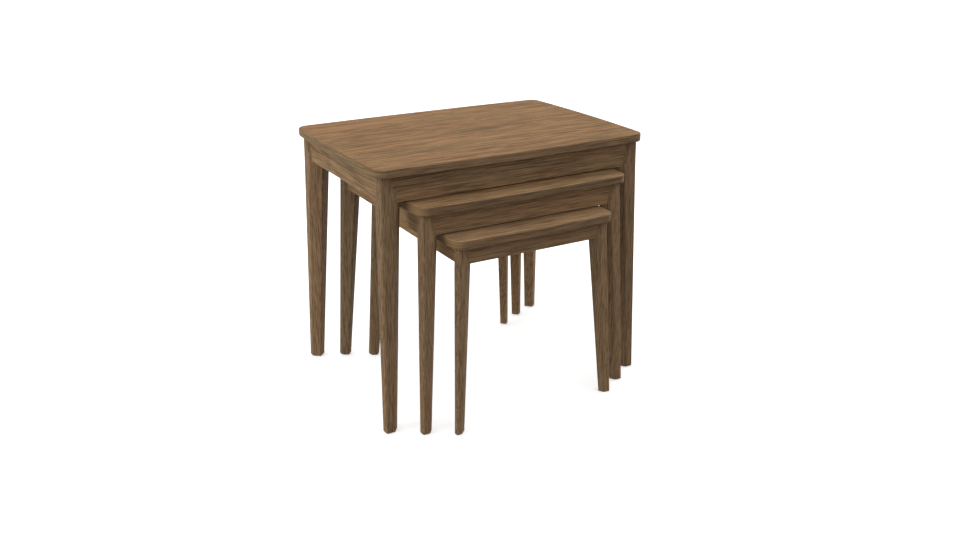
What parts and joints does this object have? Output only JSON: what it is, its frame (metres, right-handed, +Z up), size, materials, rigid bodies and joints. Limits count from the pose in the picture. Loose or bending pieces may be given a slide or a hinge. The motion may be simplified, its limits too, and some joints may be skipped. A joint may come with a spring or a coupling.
{
  "type": "nesting tables",
  "caption": "Nest of wooden side tables with bowed tops and sculpted splayed legs; each smaller table slides out from under the next larger one.",
  "frame": {"origin": "on the floor, under the middle of the whole nest as it stands parked in the staggered rest pose", "axes": "+X along the long side of the tops, -Y towards the side that the smaller tables pull out to, +Z up"},
  "size_m": [0.6, 0.488, 0.521],
  "materials": {
    "oak_top": "smoked oak, satin oil, grain along the long side",
    "oak_leg": "smoked oak, satin oil, upright grain",
    "oak_apron": "smoked oak, satin oil, grain along the rail",
    "beech": "plain unfinished beech",
    "steel": "zinc plated",
    "glide": "dark nylon"
  },
  "bodies": {
    "large_table": {"large_top": "oak_top", "large_leg_front_left": "oak_leg", "large_leg_front_right": "oak_leg", "large_leg_back_left": "oak_leg", "large_leg_back_right": "oak_leg", "large_apron_front": "oak_apron", "large_apron_back": "oak_apron", "large_apron_left": "oak_apron", "large_apron_right": "oak_apron", "large_dowels": "beech", "large_corner_blocks": "beech", "large_corner_screws": "steel", "large_top_buttons": "beech", "large_top_screws": "steel", "large_foot_glides": "glide"},
    "medium_table": {"medium_top": "oak_top", "medium_leg_front_left": "oak_leg", "medium_leg_front_right": "oak_leg", "medium_leg_back_left": "oak_leg", "medium_leg_back_right": "oak_leg", "medium_apron_front": "oak_apron", "medium_apron_back": "oak_apron", "medium_apron_left": "oak_apron", "medium_apron_right": "oak_apron", "medium_dowels": "beech", "medium_corner_blocks": "beech", "medium_corner_screws": "steel", "medium_top_buttons": "beech", "medium_top_screws": "steel", "medium_foot_glides": "glide"},
    "small_table": {"small_top": "oak_top", "small_leg_front_left": "oak_leg", "small_leg_front_right": "oak_leg", "small_leg_back_left": "oak_leg", "small_leg_back_right": "oak_leg", "small_apron_front": "oak_apron", "small_apron_back": "oak_apron", "small_apron_left": "oak_apron", "small_apron_right": "oak_apron", "small_dowels": "beech", "small_corner_blocks": "beech", "small_corner_screws": "steel", "small_top_buttons": "beech", "small_top_screws": "steel", "small_foot_glides": "glide"}
  },
  "joints": [
    {"name": "medium_slide", "type": "slide", "parent": "large_table", "child": "medium_table", "axis": [0, -1, 0], "range_m": [-0.034, 0.45]},
    {"name": "small_slide", "type": "slide", "parent": "medium_table", "child": "small_table", "axis": [0, -1, 0], "range_m": [-0.034, 0.45]}
  ]
}
